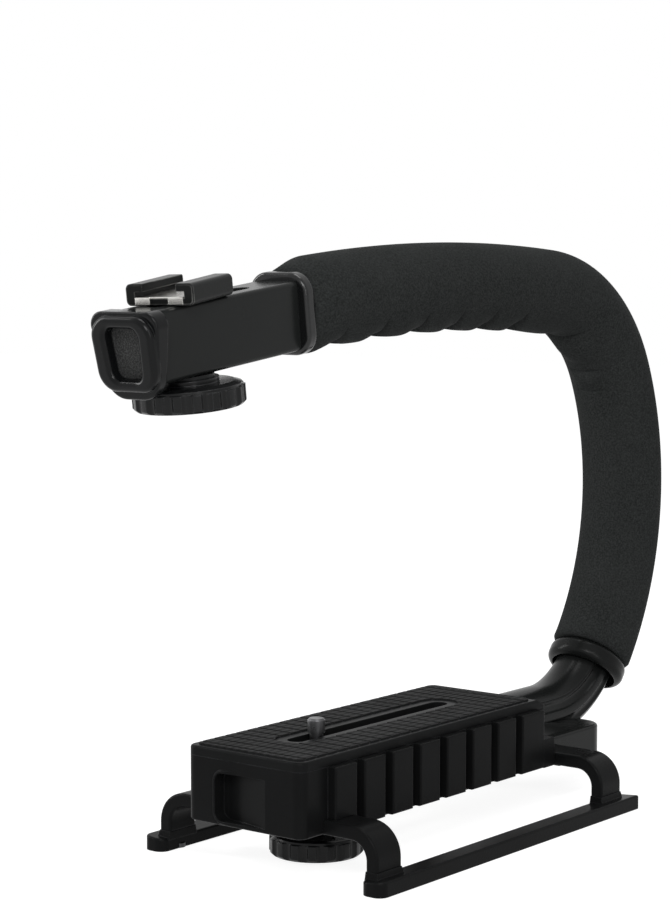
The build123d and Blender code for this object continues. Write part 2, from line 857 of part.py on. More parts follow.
shoe_base = arm_height / 2 + slide_gap
arm_underside = -arm_height / 2
shoe_frame = arm_frame * Location((-shoe_centre, 0, 0), (0, 0, shoe_angle))


def shoe_body():
    """Shoe with two overhanging rails, and a square seat for the bolt's head in its floor."""
    low = shoe_base
    body = Pos(0, 0, low + shoe_height / 2) * Box(shoe_length, shoe_width, shoe_height)
    body = fillet(body.edges().filter_by(Axis.X), shoe_corner)
    ends = body.edges().group_by(Axis.X)
    body = chamfer(ends[0] + ends[-1], shoe_edge)
    floor = low + shoe_floor
    half_length = shoe_length / 2 + overrun
    half_channel = shoe_channel_width / 2
    half_mouth = shoe_mouth_width / 2
    body -= span_box(
        (-half_length, half_length), (-half_channel, half_channel), (floor, floor + shoe_channel_height)
    )
    body -= span_box(
        (-half_length, half_length), (-half_mouth, half_mouth), (floor, low + shoe_height + overrun)
    )
    body -= post(0, 0, low - overrun, floor + overrun, bolt_radius)
    head = bolt_head_width / 2
    body -= span_box((-head, head), (-head, head), (floor - bolt_head_height, floor + overrun))
    return shoe_frame * body


def shoe_spring_plate():
    """Thin sprung sheet on the shoe's floor, with two lips curled down at its front."""
    floor = shoe_base + shoe_floor
    front = -shoe_length / 2
    plate = span_box(
        (front, -front), (-spring_width / 2, spring_width / 2), (floor, floor + spring_thickness)
    )
    for side in sides:
        outer = side * spring_width / 2
        inner = side * (spring_width / 2 - spring_lip_width)
        lip = span_box(
            (front - spring_thickness, front),
            sorted((outer, inner)),
            (floor + spring_thickness - spring_lip_height, floor + spring_thickness),
        )
        lip = fillet(
            lip.edges().filter_by(Axis.Y).group_by(Axis.X)[0].sort_by(Axis.Z)[-1], spring_lip_round
        )
        plate += lip
    return shoe_frame * plate


knob_top = arm_underside - slide_gap - clamp_washer_thickness
top_knob_depth = top_knob_band + top_knob_shoulder + top_knob_boss_height
knob_foot = knob_top - top_knob_depth


def shoe_bolt():
    """Square-headed bolt from the shoe's floor through the arm to the upper knob."""
    top = shoe_base + shoe_floor
    head_low = top - bolt_head_height
    head_middle = head_low + bolt_head_height / 2
    bolt = Pos(0, 0, head_middle) * Box(bolt_head_width, bolt_head_width, bolt_head_height)
    bolt += post(0, 0, knob_foot + bolt_tip_margin, head_low, bolt_radius)
    return shoe_frame * bolt


def shoe_knob_washer():
    """Plain washer between the upper knob and the arm."""
    low = knob_top
    washer = post(-shoe_centre, 0, low, low + clamp_washer_thickness, clamp_washer_radius)
    washer -= post(-shoe_centre, 0, low - overrun, low + clamp_washer_thickness + overrun, bolt_radius)
    return arm_frame * washer


def fluted_disc(radius, height, flutes):
    """Disc with shallow finger flutes round its rim, standing on z = 0."""
    outline = Circle(radius)
    for index in range(flutes):
        outline -= (
            Rot(0, 0, 360 * index / flutes)
            * Pos(radius + knob_flute_radius - knob_flute_depth, 0)
            * Circle(knob_flute_radius)
        )
    return extrude(outline, amount=height)


def knob_body(radius, band, shoulder, inset, hub_radius, hub_height, flutes):
    """Fluted band with a sloping shoulder and a hub on top, standing on z = 0."""
    top = band + shoulder
    profile = [
        (0, 0),
        (radius - knob_edge, 0),
        (radius, knob_edge),
        (radius, band),
        (radius - knob_flute_depth, band + knob_edge),
        (radius - inset, top),
        (0, top),
    ]
    envelope = revolve(Plane.XZ * make_face(Polyline(*profile, close=True)), Axis.Z)
    body = fluted_disc(radius, band, flutes)
    body += Pos(0, 0, band) * extrude(Circle(radius - knob_flute_depth), amount=shoulder)
    body &= envelope
    return body + post(0, 0, top, top + hub_height, hub_radius)


def upper_knob():
    """Fluted thumb knob that clamps the shoe from below the arm."""
    knob = knob_body(
        top_knob_radius, top_knob_band, top_knob_shoulder, top_knob_shoulder_inset,
        top_knob_boss_radius, top_knob_boss_height, top_knob_flutes,
    )
    knob -= post(0, 0, -overrun, top_knob_depth + overrun, insert_radius)
    return arm_frame * (Pos(-shoe_centre, 0, knob_foot) * knob)


def upper_knob_insert():
    """Threaded metal insert in the upper knob."""
    insert = post(0, 0, 0, top_knob_depth, insert_radius)
    insert -= post(0, 0, -overrun, top_knob_depth + overrun, bolt_radius + running_gap)
    return arm_frame * (Pos(-shoe_centre, 0, knob_foot) * insert)


carrier_bottom = shell_top - rail_height + rail_lip_thickness + slide_gap
carrier_top = carrier_bottom + carrier_thickness
ring_low = carrier_top - ring_thickness - slide_gap
low_washer_top = carrier_bottom - slide_gap
low_hub_top = low_washer_top - low_washer_thickness


def screw_carrier():
    """Slide block under the deck that keeps the camera screw captive."""
    block = span_box(
        (screw_place - carrier_length / 2, screw_place + carrier_length / 2),
        (-rail_gap / 2 + slip_gap, rail_gap / 2 - slip_gap),
        (carrier_bottom, carrier_top),
    )
    block = fillet(block.edges().filter_by(Axis.Z), shell_edge)
    block -= post(
        screw_place, 0, carrier_bottom - overrun, carrier_top + overrun, screw_neck_radius + running_gap
    )
    return block - post(
        screw_place, 0, ring_low - slide_gap, carrier_top + overrun, ring_radius + slip_gap
    )


def camera_screw():
    """Stud that holds the camera: a thread above the pad, on a thinner neck fixed in the lower knob."""
    thread_start = pad_top + screw_neck_stand
    thread = post(screw_place, 0, thread_start, pad_top + screw_stand, screw_radius)
    thread = chamfer(thread.edges().sort_by(Axis.Z)[-1], screw_tip)
    return thread + post(
        screw_place, 0, low_knob_bottom + low_knob_band / 2, thread_start, screw_neck_radius
    )


def screw_retaining_ring():
    """Ring on the screw that stops it from falling out of its slide block."""
    ring = post(screw_place, 0, ring_low, ring_low + ring_thickness, ring_radius)
    return ring - post(
        screw_place, 0, ring_low - overrun, ring_low + ring_thickness + overrun, screw_neck_radius
    )


def camera_knob():
    """Fluted knob under the platform with a hub that reaches up to the slide block."""
    low_top = low_knob_bottom + low_knob_band + low_knob_shoulder
    knob = Pos(screw_place, 0, low_knob_bottom) * knob_body(
        low_knob_radius, low_knob_band, low_knob_shoulder, low_knob_shoulder_inset,
        low_knob_hub_radius, low_hub_top - low_top, low_knob_flutes,
    )
    return knob - post(
        screw_place, 0, low_knob_bottom + low_knob_band / 2, low_hub_top + overrun, screw_neck_radius
    )


def camera_knob_washer():
    """Dark washer on top of the lower knob's hub."""
    washer = post(screw_place, 0, low_hub_top, low_washer_top, low_washer_radius)
    return washer - post(
        screw_place, 0, low_hub_top - overrun, low_washer_top + overrun, screw_neck_radius
    )


def screw_group(places):
    """Several assembly screws as one node of separate solids."""
    return Compound([flat_screw(x, y, z, reach) for x, y, z, reach in places])


def deck_screws():
    """Screws that pull the lid down onto the shell's bosses."""
    return screw_group([
        (x, y, shell_top - small_screw_reach - small_head_height,
         small_screw_reach + small_head_height + deck_thickness / 2)
        for x, y in deck_boss_places
    ])


def bracket_screws():
    """Screws that hold the two leg brackets."""
    return screw_group([
        (start + leg_width / 2, side * screw_y, shell_bottom, leg_thickness + bracket_screw_grip)
        for start, screw_y in brackets
        for side in sides
    ])


def runner_screws():
    """Screws that go up through the runners into the legs."""
    middle = leg_outer - leg_thickness / 2
    reach = runner_height + plinth_height + small_screw_reach - overrun
    return screw_group([
        (start + leg_width / 2, side * middle, 0, reach) for start, _ in brackets for side in sides
    ])


def tail_screws():
    """Screws from inside the shell into the tail block."""
    screws = []
    for side in sides:
        screw = flat_screw(0, 0, 0, small_head_height + shell_wall + tail_screw_grip)
        turned = Rot(0, 90, 0) * screw
        screws.append(
            Pos(shell_length - shell_wall - small_head_height, side * rear_screw_y, tail_screw_z) * turned
        )
    return Compound(screws)


def arm_screws():
    """Screws from under the arm into its plug."""
    screws = []
    for side in sides:
        screw = flat_screw(-arm_screw_inset, side * boss_radius, arm_underside, small_screw_reach)
        screws.append(arm_frame * screw)
    return Compound(screws)


nodes = {
    "base_shell": base_shell(),
    "deck_plate": deck_plate(),
    "deck_pad": deck_pad(),
    "deck_screws": deck_screws(),
    "front_leg_bracket": leg_bracket(*brackets[0]),
    "rear_leg_bracket": leg_bracket(*brackets[1]),
    "bracket_screws": bracket_screws(),
    "left_runner": runner(1),
    "right_runner": runner(-1),
    "runner_screws": runner_screws(),
    "tail_screws": tail_screws(),
    "tail_block": tail_block(),
    "neck": neck(),
    "lower_flange": lower_flange(),
    "core_tube": core_tube(),
    "foam_grip": foam_grip(),
    "upper_collar": upper_collar(),
    "arm_plug": arm_plug(),
    "upper_arm": upper_arm(),
    "arm_screws": arm_screws(),
    "arm_end_cap": arm_end_cap(),
    "shoe_body": shoe_body(),
    "shoe_spring_plate": shoe_spring_plate(),
    "shoe_bolt": shoe_bolt(),
    "shoe_knob_washer": shoe_knob_washer(),
    "upper_knob": upper_knob(),
    "upper_knob_insert": upper_knob_insert(),
    "screw_carrier": screw_carrier(),
    "camera_screw": camera_screw(),
    "screw_retaining_ring": screw_retaining_ring(),
    "camera_knob": camera_knob(),
    "camera_knob_washer": camera_knob_washer(),
}

# Everything moves so that the origin is under the middle of the whole grip
whole = Compound(list(nodes.values())).bounding_box()
to_middle = Pos(-(whole.min.X + whole.max.X) / 2, 0, 0)
for name, shape in nodes.items():
    export_step(to_middle * shape, f"parts/{name}.step")
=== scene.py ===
import math

import bmesh
import bpy
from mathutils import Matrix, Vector


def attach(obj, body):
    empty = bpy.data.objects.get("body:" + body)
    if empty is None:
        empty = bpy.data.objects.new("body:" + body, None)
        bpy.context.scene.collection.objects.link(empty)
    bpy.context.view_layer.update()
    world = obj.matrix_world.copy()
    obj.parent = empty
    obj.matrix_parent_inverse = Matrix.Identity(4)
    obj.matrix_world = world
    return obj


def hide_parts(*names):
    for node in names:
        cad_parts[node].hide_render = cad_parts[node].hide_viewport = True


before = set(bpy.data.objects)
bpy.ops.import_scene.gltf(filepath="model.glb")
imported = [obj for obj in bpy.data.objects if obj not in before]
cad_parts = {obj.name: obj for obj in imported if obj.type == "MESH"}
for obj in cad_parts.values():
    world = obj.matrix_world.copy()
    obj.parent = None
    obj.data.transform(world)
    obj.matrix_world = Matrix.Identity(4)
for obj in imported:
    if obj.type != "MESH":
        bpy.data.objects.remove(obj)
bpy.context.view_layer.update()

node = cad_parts


# Viewpoint. The grip is seen from its front left, a little above the platform, with a long lens
# about 0.9 m away, so the sides stay almost parallel.
eye = Vector((-0.71037, -0.52257, 0.21671))
look_turn = math.radians(38.337)
look_down = math.radians(4.888)
sight = Vector((
    math.cos(look_turn) * math.cos(look_down),
    math.sin(look_turn) * math.cos(look_down),
    -math.sin(look_down),
))
lens = bpy.data.cameras.new("long_lens")
lens.sensor_fit = "HORIZONTAL"
lens.sensor_width = 36
lens.lens = 127.2
camera = bpy.data.objects.new("camera", lens)
camera.location = eye
camera.rotation_euler = sight.to_track_quat("-Z", "Y").to_euler()
bpy.context.scene.collection.objects.link(camera)
bpy.context.scene.camera = camera
bpy.context.scene.view_settings.view_transform = "Standard"


# Table and studio. A pale matte table runs out to a white surround. The main soft box stands near
# the viewer, with a tall narrow one to either side and a square one overhead.
table_size = 6
table_drop = 0.0002
glow_share = 0.65
glow_strength = 1.38
bpy.ops.object.select_all(action="DESELECT")
bpy.ops.mesh.primitive_plane_add(size=table_size, location=(0, 0, -table_drop))
table = bpy.context.object
table.name = "table"

table_paint = bpy.data.materials.new("pale_table")
table_paint.use_nodes = True
tree = table_paint.node_tree
tree.nodes.clear()
table_out = tree.nodes.new("ShaderNodeOutputMaterial")
table_mix = tree.nodes.new("ShaderNodeMixShader")
table_matte = tree.nodes.new("ShaderNodeBsdfDiffuse")
table_white = tree.nodes.new("ShaderNodeEmission")
table_path = tree.nodes.new("ShaderNodeLightPath")
table_either = tree.nodes.new("ShaderNodeMath")
table_either.operation = "MAXIMUM"
table_share = tree.nodes.new("ShaderNodeMath")
table_share.operation = "MULTIPLY"
table_share.inputs[1].default_value = glow_share
table_matte.inputs["Color"].default_value = (0.86, 0.86, 0.86, 1)
table_white.inputs["Color"].default_value = (1, 1, 1, 1)
table_white.inputs["Strength"].default_value = glow_strength
tree.links.new(table_path.outputs["Is Camera Ray"], table_either.inputs[0])
tree.links.new(table_path.outputs["Is Glossy Ray"], table_either.inputs[1])
tree.links.new(table_either.outputs[0], table_share.inputs[0])
tree.links.new(table_share.outputs[0], table_mix.inputs[0])
tree.links.new(table_matte.outputs[0], table_mix.inputs[1])
tree.links.new(table_white.outputs[0], table_mix.inputs[2])
tree.links.new(table_mix.outputs[0], table_out.inputs["Surface"])
table.data.materials.append(table_paint)

surround = bpy.data.worlds.new("white_surround")
surround.use_nodes = True
bpy.context.scene.world = surround
tree = surround.node_tree
tree.nodes.clear()
surround_out = tree.nodes.new("ShaderNodeOutputWorld")
surround_mix = tree.nodes.new("ShaderNodeMixShader")
surround_soft = tree.nodes.new("ShaderNodeBackground")
surround_white = tree.nodes.new("ShaderNodeBackground")
surround_path = tree.nodes.new("ShaderNodeLightPath")
surround_either = tree.nodes.new("ShaderNodeMath")
surround_either.operation = "MAXIMUM"
surround_any = tree.nodes.new("ShaderNodeMath")
surround_any.operation = "MAXIMUM"
surround_soft.inputs["Color"].default_value = (1, 1, 1, 1)
surround_soft.inputs["Strength"].default_value = 0.4
surround_white.inputs["Color"].default_value = (1, 1, 1, 1)
surround_white.inputs["Strength"].default_value = 1.0
tree.links.new(surround_path.outputs["Is Camera Ray"], surround_either.inputs[0])
tree.links.new(surround_path.outputs["Is Transmission Ray"], surround_either.inputs[1])
tree.links.new(surround_either.outputs[0], surround_any.inputs[0])
tree.links.new(surround_path.outputs["Is Glossy Ray"], surround_any.inputs[1])
tree.links.new(surround_any.outputs[0], surround_mix.inputs[0])
tree.links.new(surround_soft.outputs[0], surround_mix.inputs[1])
tree.links.new(surround_white.outputs[0], surround_mix.inputs[2])
tree.links.new(surround_mix.outputs[0], surround_out.inputs["Surface"])


def soft_box(name, place, aim, width, height, power):
    """Rectangular studio lamp that faces a point."""
    lamp = bpy.data.lights.new(name, "AREA")
    lamp.shape = "RECTANGLE"
    lamp.size = width
    lamp.size_y = height
    lamp.energy = power
    holder = bpy.data.objects.new(name, lamp)
    holder.location = place
    holder.rotation_euler = (Vector(aim) - Vector(place)).to_track_quat("-Z", "Y").to_euler()
    bpy.context.scene.collection.objects.link(holder)


soft_box("main_box", (-1.1, -0.75, 0.95), (0, 0, 0.12), 0.5, 0.5, 9)
soft_box("right_strip", (-0.75, -1.2, 0.62), (0, 0, 0.3), 0.2, 1.2, 5)
soft_box("left_strip", (-0.6, 1.2, 0.62), (0, 0, 0.3), 0.2, 1.2, 10)
soft_box("top_box", (0.1, 0, 1.5), (0, 0, 0.1), 0.7, 0.7, 8)


# Platform housing. A hollow ABS moulding, open underneath, with a fine spark-eroded texture on its
# walls and on the pads down both long sides. It was pulled straight out of a steel mould.
def new_group(name, inputs, outputs):
    """Empty shader group with named number, vector and colour sockets."""
    group = bpy.data.node_groups.new(name, "ShaderNodeTree")
    for label, kind, value in inputs:
        socket = group.interface.new_socket(label, in_out="INPUT", socket_type=kind)
        if value is not None:
            socket.default_value = value
    for label, kind in outputs:
        group.interface.new_socket(label, in_out="OUTPUT", socket_type=kind)
    return group, group.nodes.new("NodeGroupInput"), group.nodes.new("NodeGroupOutput")


# Mould grain: small rounded pits on a slightly uneven ground, as etched into the steel.
mould_grain, given, result = new_group(
    "mould_grain",
    [("Pits per metre", "NodeSocketFloat", 1800.0), ("Unevenness", "NodeSocketFloat", 0.4)],
    [("Height", "NodeSocketFloat"), ("Speckle", "NodeSocketFloat")],
)
links = mould_grain.links
coords = mould_grain.nodes.new("ShaderNodeTexCoord")
pits = mould_grain.nodes.new("ShaderNodeTexNoise")
pits.inputs["Detail"].default_value = 2.0
pits.inputs["Roughness"].default_value = 0.55
cells = mould_grain.nodes.new("ShaderNodeTexVoronoi")
blend_pits = mould_grain.nodes.new("ShaderNodeMix")
links.new(coords.outputs["Object"], pits.inputs["Vector"])
links.new(coords.outputs["Object"], cells.inputs["Vector"])
links.new(given.outputs["Pits per metre"], pits.inputs["Scale"])
links.new(given.outputs["Pits per metre"], cells.inputs["Scale"])
links.new(given.outputs["Unevenness"], blend_pits.inputs[0])
links.new(pits.outputs[0], blend_pits.inputs[2])
links.new(cells.outputs["Distance"], blend_pits.inputs[3])
links.new(blend_pits.outputs[0], result.inputs["Height"])
links.new(pits.outputs[0], result.inputs["Speckle"])

# Edge wear: where the plastic turns a corner it is rubbed smooth and paler, in patches.
edge_wear, given, result = new_group(
    "edge_wear",
    [
        ("Corner radius", "NodeSocketFloat", 0.0006),
        ("Patches per metre", "NodeSocketFloat", 90.0),
        ("Amount", "NodeSocketFloat", 0.7),
    ],
    [("Mask", "NodeSocketFloat"), ("Normal", "NodeSocketVector")],
)
links = edge_wear.links
corner = edge_wear.nodes.new("ShaderNodeBevel")
corner.samples = 6
surface = edge_wear.nodes.new("ShaderNodeNewGeometry")
facing = edge_wear.nodes.new("ShaderNodeVectorMath")
facing.operation = "DOT_PRODUCT"
turned = edge_wear.nodes.new("ShaderNodeMapRange")
turned.inputs["From Min"].default_value = 0.995
turned.inputs["From Max"].default_value = 0.85
coords = edge_wear.nodes.new("ShaderNodeTexCoord")
patches = edge_wear.nodes.new("ShaderNodeTexNoise")
patches.inputs["Detail"].default_value = 4.0
patchy = edge_wear.nodes.new("ShaderNodeMapRange")
patchy.inputs["From Min"].default_value = 0.35
patchy.inputs["From Max"].default_value = 0.62
worn = edge_wear.nodes.new("ShaderNodeMath")
worn.operation = "MULTIPLY"
share = edge_wear.nodes.new("ShaderNodeMath")
share.operation = "MULTIPLY"
links.new(given.outputs["Corner radius"], corner.inputs["Radius"])
links.new(corner.outputs[0], facing.inputs[0])
links.new(surface.outputs["True Normal"], facing.inputs[1])
links.new(facing.outputs["Value"], turned.inputs["Value"])
links.new(coords.outputs["Object"], patches.inputs["Vector"])
links.new(given.outputs["Patches per metre"], patches.inputs["Scale"])
links.new(patches.outputs[0], patchy.inputs["Value"])
links.new(turned.outputs[0], worn.inputs[0])
links.new(patchy.outputs[0], worn.inputs[1])
links.new(worn.outputs[0], share.inputs[0])
links.new(given.outputs["Amount"], share.inputs[1])
links.new(share.outputs[0], result.inputs["Mask"])
links.new(corner.outputs[0], result.inputs["Normal"])

# Handling: broad soft blotches where hands have polished or dulled the surface.
handling, given, result = new_group(
    "handling",
    [("Blotches per metre", "NodeSocketFloat", 22.0), ("Contrast", "NodeSocketFloat", 0.3)],
    [("Value", "NodeSocketFloat")],
)
links = handling.links
coords = handling.nodes.new("ShaderNodeTexCoord")
blotches = handling.nodes.new("ShaderNodeTexNoise")
blotches.inputs["Detail"].default_value = 5.0
low = handling.nodes.new("ShaderNodeMath")
low.operation = "SUBTRACT"
low.inputs[0].default_value = 0.5
high = handling.nodes.new("ShaderNodeMath")
high.operation = "ADD"
high.inputs[0].default_value = 0.5
spread = handling.nodes.new("ShaderNodeMapRange")
links.new(coords.outputs["Object"], blotches.inputs["Vector"])
links.new(given.outputs["Blotches per metre"], blotches.inputs["Scale"])
links.new(given.outputs["Contrast"], low.inputs[1])
links.new(given.outputs["Contrast"], high.inputs[1])
links.new(blotches.outputs[0], spread.inputs["Value"])
links.new(low.outputs[0], spread.inputs["From Min"])
links.new(high.outputs[0], spread.inputs["From Max"])
links.new(spread.outputs[0], result.inputs["Value"])


def moulded_plastic(
    name, dark, light, dull, shiny, specular,
    pits_per_metre, pit_depth, corner_radius, worn_colour, wear,
):
    """Black moulded plastic: grainy, blotched in its colour and gloss, paler at worn corners."""
    finish = bpy.data.materials.new(name)
    finish.use_nodes = True
    nodes, links = finish.node_tree.nodes, finish.node_tree.links
    skin = nodes["Principled BSDF"]
    skin.inputs["Specular IOR Level"].default_value = specular
    grain = nodes.new("ShaderNodeGroup")
    grain.node_tree = mould_grain
    grain.inputs["Pits per metre"].default_value = pits_per_metre
    edge = nodes.new("ShaderNodeGroup")
    edge.node_tree = edge_wear
    edge.inputs["Corner radius"].default_value = corner_radius
    edge.inputs["Amount"].default_value = wear
    hands = nodes.new("ShaderNodeGroup")
    hands.node_tree = handling
    ground = nodes.new("ShaderNodeMix")
    ground.data_type = "RGBA"
    ground.inputs[6].default_value = (*dark, 1)
    ground.inputs[7].default_value = (*light, 1)
    rubbed = nodes.new("ShaderNodeMix")
    rubbed.data_type = "RGBA"
    rubbed.inputs[7].default_value = (*worn_colour, 1)
    gloss = nodes.new("ShaderNodeMapRange")
    gloss.inputs["To Min"].default_value = dull
    gloss.inputs["To Max"].default_value = shiny
    bump = nodes.new("ShaderNodeBump")
    bump.inputs["Strength"].default_value = 1.0
    bump.inputs["Distance"].default_value = pit_depth
    links.new(hands.outputs["Value"], ground.inputs[0])
    links.new(ground.outputs[2], rubbed.inputs[6])
    links.new(edge.outputs["Mask"], rubbed.inputs[0])
    links.new(rubbed.outputs[2], skin.inputs["Base Color"])
    links.new(hands.outputs["Value"], gloss.inputs["Value"])
    links.new(gloss.outputs[0], skin.inputs["Roughness"])
    links.new(grain.outputs["Height"], bump.inputs["Height"])
    links.new(edge.outputs["Normal"], bump.inputs["Normal"])
    links.new(bump.outputs[0], skin.inputs["Normal"])
    return finish


def dress(names, finish):
    """Gives each named CAD node one finish."""
    for name in names:
        for slot in node[name].material_slots:
            slot.material = finish


shell_plastic = moulded_plastic(
    "shell_plastic", (0.0038, 0.0039, 0.004), (0.0075, 0.0077, 0.0079), 0.4, 0.26, 0.03,
    1600, 0.00003, 0.0006, (0.028, 0.029, 0.031), 0.4,
)
dress(["base_shell"], shell_plastic)


# Deck plate. A flat cover screwed to the top of the housing, with the same moulded texture. Its
# slightly greyer black is painted sheen for the light that the strip all round the rubber pad catches,
# so that this thin strip shows paler.
deck_plastic_painted_sheen = moulded_plastic(
    # Greyer ground and worn colours than the housing: painted sheen on the deck's top strip, not a
    # different plastic.
    "deck_plastic_painted_sheen", (0.0045, 0.0047, 0.0048), (0.0085, 0.0088, 0.009), 0.42, 0.3, 0.03,
    1500, 0.00003, 0.0005, (0.035, 0.037, 0.04), 0.5,
)
dress(["deck_plate"], deck_plastic_painted_sheen)


# Rubber pad. A thin ribbed sheet glued in the deck's recess, soft and dull, which keeps whatever is
# screwed down on it from turning.
pad_rubber = bpy.data.materials.new("pad_rubber")
pad_rubber.use_nodes = True
nodes, links = pad_rubber.node_tree.nodes, pad_rubber.node_tree.links
skin = nodes["Principled BSDF"]
skin.inputs["Specular IOR Level"].default_value = 0.1
grain = nodes.new("ShaderNodeGroup")
grain.node_tree = mould_grain
grain.inputs["Pits per metre"].default_value = 2600
hands = nodes.new("ShaderNodeGroup")
hands.node_tree = handling
hands.inputs["Blotches per metre"].default_value = 35
ground = nodes.new("ShaderNodeMix")
ground.data_type = "RGBA"
ground.inputs[6].default_value = (0.0085, 0.0087, 0.0088, 1)
ground.inputs[7].default_value = (0.0155, 0.0157, 0.016, 1)
coords = nodes.new("ShaderNodeTexCoord")
ribs = nodes.new("ShaderNodeTexWave")
ribs.bands_direction = "Y"
ribs.inputs["Scale"].default_value = 95
rib_height = nodes.new("ShaderNodeMath")
rib_height.operation = "MULTIPLY_ADD"
rib_height.inputs[1].default_value = 0.25
bump = nodes.new("ShaderNodeBump")
bump.inputs["Distance"].default_value = 0.0003
rough = nodes.new("ShaderNodeMapRange")
rough.inputs["To Min"].default_value = 0.85
rough.inputs["To Max"].default_value = 0.7
links.new(hands.outputs["Value"], ground.inputs[0])
links.new(ground.outputs[2], skin.inputs["Base Color"])
links.new(hands.outputs["Value"], rough.inputs["Value"])
links.new(rough.outputs[0], skin.inputs["Roughness"])
links.new(coords.outputs["Object"], ribs.inputs["Vector"])
links.new(grain.outputs["Height"], rib_height.inputs[0])
links.new(ribs.outputs["Color"], rib_height.inputs[2])
links.new(rib_height.outputs[0], bump.inputs["Height"])
links.new(bump.outputs[0], skin.inputs["Normal"])
dress(["deck_pad"], pad_rubber)


# Screws of the deck, the skids, the tail and the arm. Blackened steel, with fine lines left by the
# drawing of the wire and a cloudy grey tarnish.
def drawn_metal(name, dark, light, dull, shiny, lines_per_metre, corner_radius):
    """Bare or blackened metal: fine drawing lines, cloudy tarnish and softened corners."""
    finish = bpy.data.materials.new(name)
    finish.use_nodes = True
    nodes, links = finish.node_tree.nodes, finish.node_tree.links
    skin = nodes["Principled BSDF"]
    skin.inputs["Metallic"].default_value = 1.0
    coords = nodes.new("ShaderNodeTexCoord")
    stretch = nodes.new("ShaderNodeMapping")
    stretch.inputs["Scale"].default_value = (1, 12, 12)
    lines = nodes.new("ShaderNodeTexNoise")
    lines.inputs["Scale"].default_value = lines_per_metre
    lines.inputs["Detail"].default_value = 3
    hands = nodes.new("ShaderNodeGroup")
    hands.node_tree = handling
    hands.inputs["Blotches per metre"].default_value = 160
    edge = nodes.new("ShaderNodeGroup")
    edge.node_tree = edge_wear
    edge.inputs["Corner radius"].default_value = corner_radius
    ground = nodes.new("ShaderNodeMix")
    ground.data_type = "RGBA"
    ground.inputs[6].default_value = (*dark, 1)
    ground.inputs[7].default_value = (*light, 1)
    gloss = nodes.new("ShaderNodeMapRange")
    gloss.inputs["To Min"].default_value = dull
    gloss.inputs["To Max"].default_value = shiny
    bump = nodes.new("ShaderNodeBump")
    bump.inputs["Strength"].default_value = 0.4
    bump.inputs["Distance"].default_value = 0.00003
    links.new(coords.outputs["Object"], stretch.inputs["Vector"])
    links.new(stretch.outputs[0], lines.inputs["Vector"])
    links.new(hands.outputs["Value"], ground.inputs[0])
    links.new(ground.outputs[2], skin.inputs["Base Color"])
    links.new(hands.outputs["Value"], gloss.inputs["Value"])
    links.new(gloss.outputs[0], skin.inputs["Roughness"])
    links.new(lines.outputs[0], bump.inputs["Height"])
    links.new(edge.outputs["Normal"], bump.inputs["Normal"])
    links.new(bump.outputs[0], skin.inputs["Normal"])
    return finish


screw_steel = drawn_metal(
    "screw_steel", (0.035, 0.035, 0.036), (0.09, 0.09, 0.092), 0.46, 0.32, 220, 0.0002,
)
dress(["deck_screws", "bracket_screws", "runner_screws", "tail_screws", "arm_screws"], screw_steel)


# Legs and runners. Two bent brackets under the housing and two long rails with raised ends, in the
# same black ABS, scuffed at their corners where the grip is set down.
skid_plastic = moulded_plastic(
    "skid_plastic", (0.0035, 0.0036, 0.0037), (0.007, 0.0072, 0.0074), 0.38, 0.24, 0.035,
    1400, 0.00004, 0.0007, (0.035, 0.036, 0.038), 0.5,
)
dress(["front_leg_bracket", "rear_leg_bracket", "left_runner", "right_runner"], skid_plastic)


# Neck, lower flange and tail block. A fluted stem sweeps from the arch down to the tail block, and a
# ring ends the foam. All three are smoother, glossier mouldings than the platform.
neck_plastic = moulded_plastic(
    "neck_plastic", (0.005, 0.0054, 0.0053), (0.009, 0.0096, 0.0094), 0.32, 0.2, 0.08,
    1100, 0.00002, 0.0006, (0.035, 0.037, 0.038), 0.4,
)
dress(["neck", "lower_flange", "tail_block"], neck_plastic)


# Core tube. Mill-finish aluminium, bent on a mandrel; only its ends could be seen, inside the foam.
tube_metal = drawn_metal("tube_metal", (0.5, 0.5, 0.51), (0.68, 0.68, 0.69), 0.45, 0.3, 140, 0.0003)
dress(["core_tube"], tube_metal)


# Foam sleeve. A black closed-cell foam tube, blown up with air and slid over the bent aluminium
# tube. It is drawn in at the collar, flares onto the flange and creases where the bend crowds it.
foam_radius = 0.0165
foam_bore = 0.0098
arm_root = Vector((-0.081004, 0, 0.193207))
arm_tilt = math.radians(7)
arch_inset = 0.005
arch_lift = 0.0024
arch_arcs = ((0.788, math.radians(11.8)), (0.0595, math.radians(60)), (0.1125, math.radians(63.4)))
foam_sides = 128


def arch_at(distance):
    """Point and heading of the arch's centre line at a distance from its upper end."""
    along = Vector((math.cos(arm_tilt), 0, math.sin(arm_tilt)))
    across = Vector((-math.sin(arm_tilt), 0, math.cos(arm_tilt)))
    place = arm_root + along * arch_inset + across * arch_lift
    heading = arm_tilt
    for radius, turn in arch_arcs:
        part = min(distance, radius * turn)
        centre = place + Vector((math.sin(heading), 0, -math.cos(heading))) * radius
        heading -= part / radius
        place = centre - Vector((math.sin(heading), 0, -math.cos(heading))) * radius
        distance -= part
        if distance <= 0:
            break
    return place, heading


foam_length = sum(radius * turn for radius, turn in arch_arcs)
# Place along the sleeve, bulge of the lobe before it, how far that lobe is then drawn in, depth of
# the slit, and reach in degrees
foam_creases = (
    (0.0253, 0.0002, 0.0017, 0.0017, 66),
    (0.0512, 0.0005, 0.0018, 0.0020, 74),
    (0.0758, 0.0005, 0.0017, 0.0020, 74),
    (0.0980, 0.0005, 0.0017, 0.0020, 70),
    (0.1206, 0.0005, 0.0023, 0.0020, 70),
    (0.1416, 0.0005, 0.0026, 0.0018, 64),
    (0.1822, 0.0007, 0.0012, 0.0012, 54),
    (0.2130, 0.0021, 0.0003, 0.0006, 46),
    (0.2260, 0.0011, 0.0003, 0.0004, 40),
)
slit_width = 0.0007
